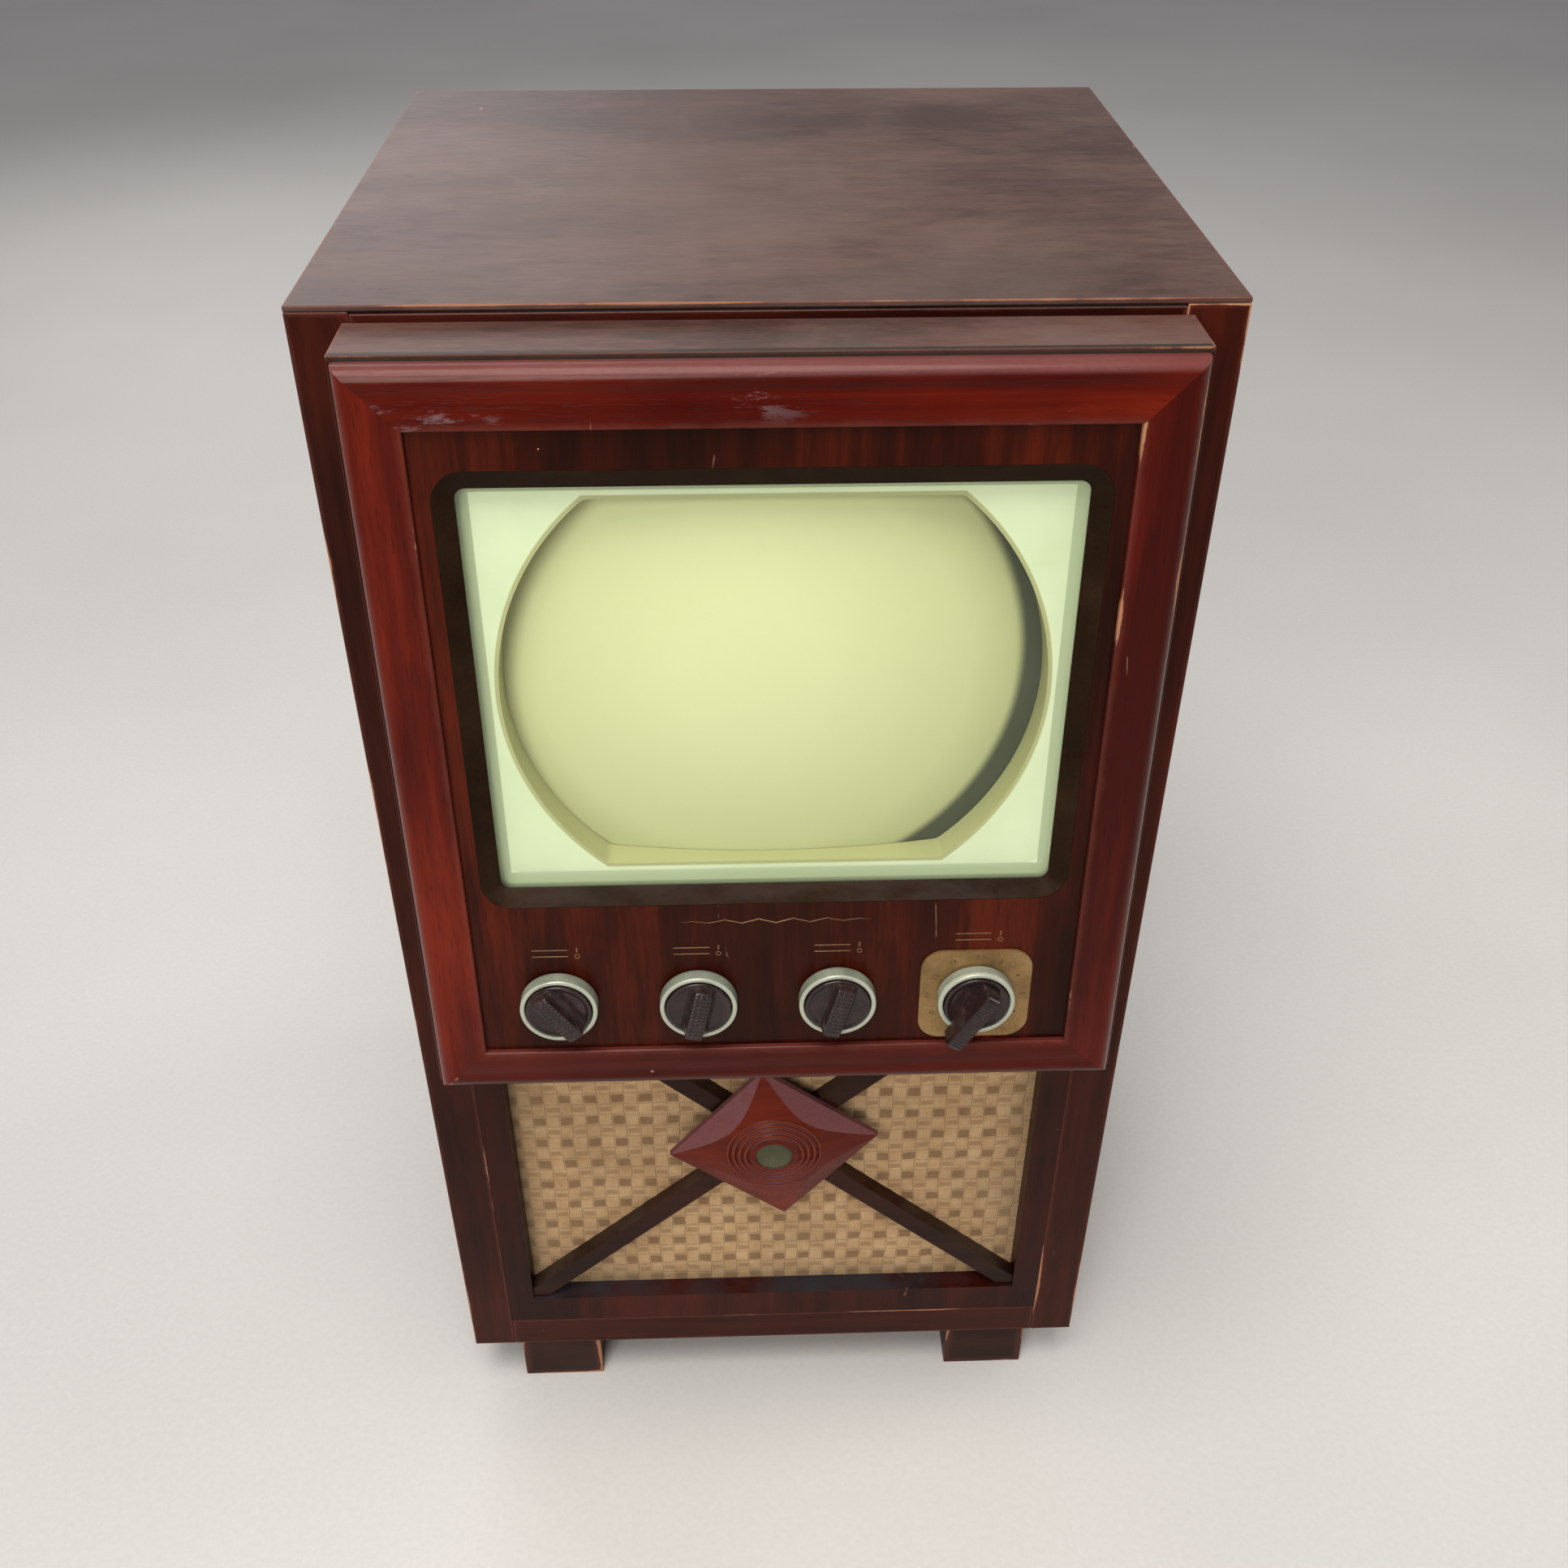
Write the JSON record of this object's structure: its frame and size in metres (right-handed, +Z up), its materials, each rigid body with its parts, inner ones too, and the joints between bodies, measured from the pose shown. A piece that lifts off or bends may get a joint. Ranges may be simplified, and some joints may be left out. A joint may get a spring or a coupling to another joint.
{
  "type": "tube television",
  "caption": "Upright wooden tube television: leaning bezel with a flat-topped round screen, a row of double knobs, a cloth grille with crossed bars and a diamond boss.",
  "frame": {"origin": "on the floor under the middle of the whole set: centre of the bounding box in X and Y, and Z = 0 at the feet", "axes": "+Z up, +X to the viewer's right when facing the screen, +Y from the screen towards the back"},
  "size_m": [0.45, 0.5398, 0.842],
  "materials": {
    "case_wood": "satin",
    "frame_wood": "gloss",
    "bar_wood": "satin",
    "foot_wood": "satin",
    "hood_wood": "satin",
    "moulding_wood": "gloss",
    "panel_wood": "gloss",
    "ornament_wood": "gloss",
    "liner_paint": "satin",
    "plain_wood": "matt",
    "window_glass": "clear",
    "mask_plastic": "satin",
    "tube_glass": "phosphor behind clear glass",
    "ring_enamel": "satin",
    "knob_bakelite": "satin",
    "plate_brass": "satin",
    "medallion_brass": "tarnished",
    "bright_steel": "satin",
    "chassis_steel": "plated",
    "black_iron": "satin",
    "valve_glass": "clear",
    "base_bakelite": "satin",
    "grille_fabric": "woven",
    "cone_paper": "matt",
    "hardboard": "matt",
    "cup_fibre": "matt",
    "terminal_plastic": "matt"
  },
  "bodies": {
    "cabinet": {"side_panel_left": "case_wood", "side_panel_right": "case_wood", "top_panel": "case_wood", "front_stile_left": "frame_wood", "front_stile_right": "frame_wood", "top_rail": "frame_wood", "bottom_rail": "frame_wood", "grille_frame": "frame_wood", "grille_bars": "bar_wood", "feet": "foot_wood", "hood_top": "hood_wood", "hood_bottom": "hood_wood", "hood_left": "hood_wood", "hood_right": "hood_wood", "moulding_top": "moulding_wood", "moulding_bottom": "moulding_wood", "moulding_left": "moulding_wood", "moulding_right": "moulding_wood", "control_panel": "panel_wood", "diamond_ornament": "ornament_wood", "window_liner": "liner_paint", "bottom_panel": "plain_wood", "chassis_shelf": "plain_wood", "speaker_baffle": "plain_wood", "safety_glass": "window_glass", "picture_mask": "mask_plastic", "picture_tube": "tube_glass", "channel_plate": "plate_brass", "medallion": "medallion_brass", "cover_screws": "bright_steel", "tube_clamp": "bright_steel", "control_pots": "bright_steel", "tuner_box": "bright_steel", "tv_chassis": "chassis_steel", "high_voltage_cage": "chassis_steel", "power_transformer": "black_iron", "speaker_frame": "black_iron", "focus_coil": "black_iron", "deflection_yoke": "black_iron", "vacuum_tubes": "valve_glass", "tube_base": "base_bakelite", "grille_cloth": "grille_fabric", "speaker_cone": "cone_paper", "back_cover": "hardboard", "neck_cup": "cup_fibre", "power_inlet": "terminal_plastic", "antenna_terminals": "terminal_plastic"},
    "horizontal_hold": {"horizontal_hold_knob": "knob_bakelite", "horizontal_hold_shaft": "bright_steel"},
    "vertical_hold": {"vertical_hold_ring": "ring_enamel"},
    "contrast": {"contrast_knob": "knob_bakelite", "contrast_shaft": "bright_steel"},
    "brightness": {"brightness_ring": "ring_enamel"},
    "volume": {"volume_knob": "knob_bakelite", "volume_shaft": "bright_steel"},
    "focus": {"focus_ring": "ring_enamel"},
    "channel": {"channel_knob": "knob_bakelite", "channel_shaft": "bright_steel", "tuner_drum": "base_bakelite"},
    "fine_tuning": {"fine_tuning_ring": "ring_enamel"}
  },
  "joints": [
    {"name": "horizontal_hold_turn", "type": "hinge", "parent": "cabinet", "child": "horizontal_hold", "pos_m": [-0.12255, -0.24544, 0.4646], "axis": [0, -0.9987, 0.0502], "range_deg": [-186, 114]},
    {"name": "vertical_hold_turn", "type": "hinge", "parent": "cabinet", "child": "vertical_hold", "pos_m": [-0.12255, -0.24544, 0.4646], "axis": [0, -0.9987, 0.0502], "range_deg": [-150, 150]},
    {"name": "contrast_turn", "type": "hinge", "parent": "cabinet", "child": "contrast", "pos_m": [-0.04405, -0.24544, 0.4646], "axis": [0, -0.9987, 0.0502], "range_deg": [-138, 162]},
    {"name": "brightness_turn", "type": "hinge", "parent": "cabinet", "child": "brightness", "pos_m": [-0.04405, -0.24544, 0.4646], "axis": [0, -0.9987, 0.0502], "range_deg": [-150, 150]},
    {"name": "volume_turn", "type": "hinge", "parent": "cabinet", "child": "volume", "pos_m": [0.03445, -0.24544, 0.4646], "axis": [0, -0.9987, 0.0502], "range_deg": [-135, 165]},
    {"name": "focus_turn", "type": "hinge", "parent": "cabinet", "child": "focus", "pos_m": [0.03445, -0.24544, 0.4646], "axis": [0, -0.9987, 0.0502], "range_deg": [-150, 150]},
    {"name": "channel_turn", "type": "hinge", "parent": "cabinet", "child": "channel", "pos_m": [0.11295, -0.24544, 0.4646], "axis": [0, -0.9987, 0.0502], "continuous": true},
    {"name": "fine_tuning_turn", "type": "hinge", "parent": "cabinet", "child": "fine_tuning", "pos_m": [0.11295, -0.24544, 0.4646], "axis": [0, -0.9987, 0.0502], "range_deg": [-135, 135]}
  ]
}
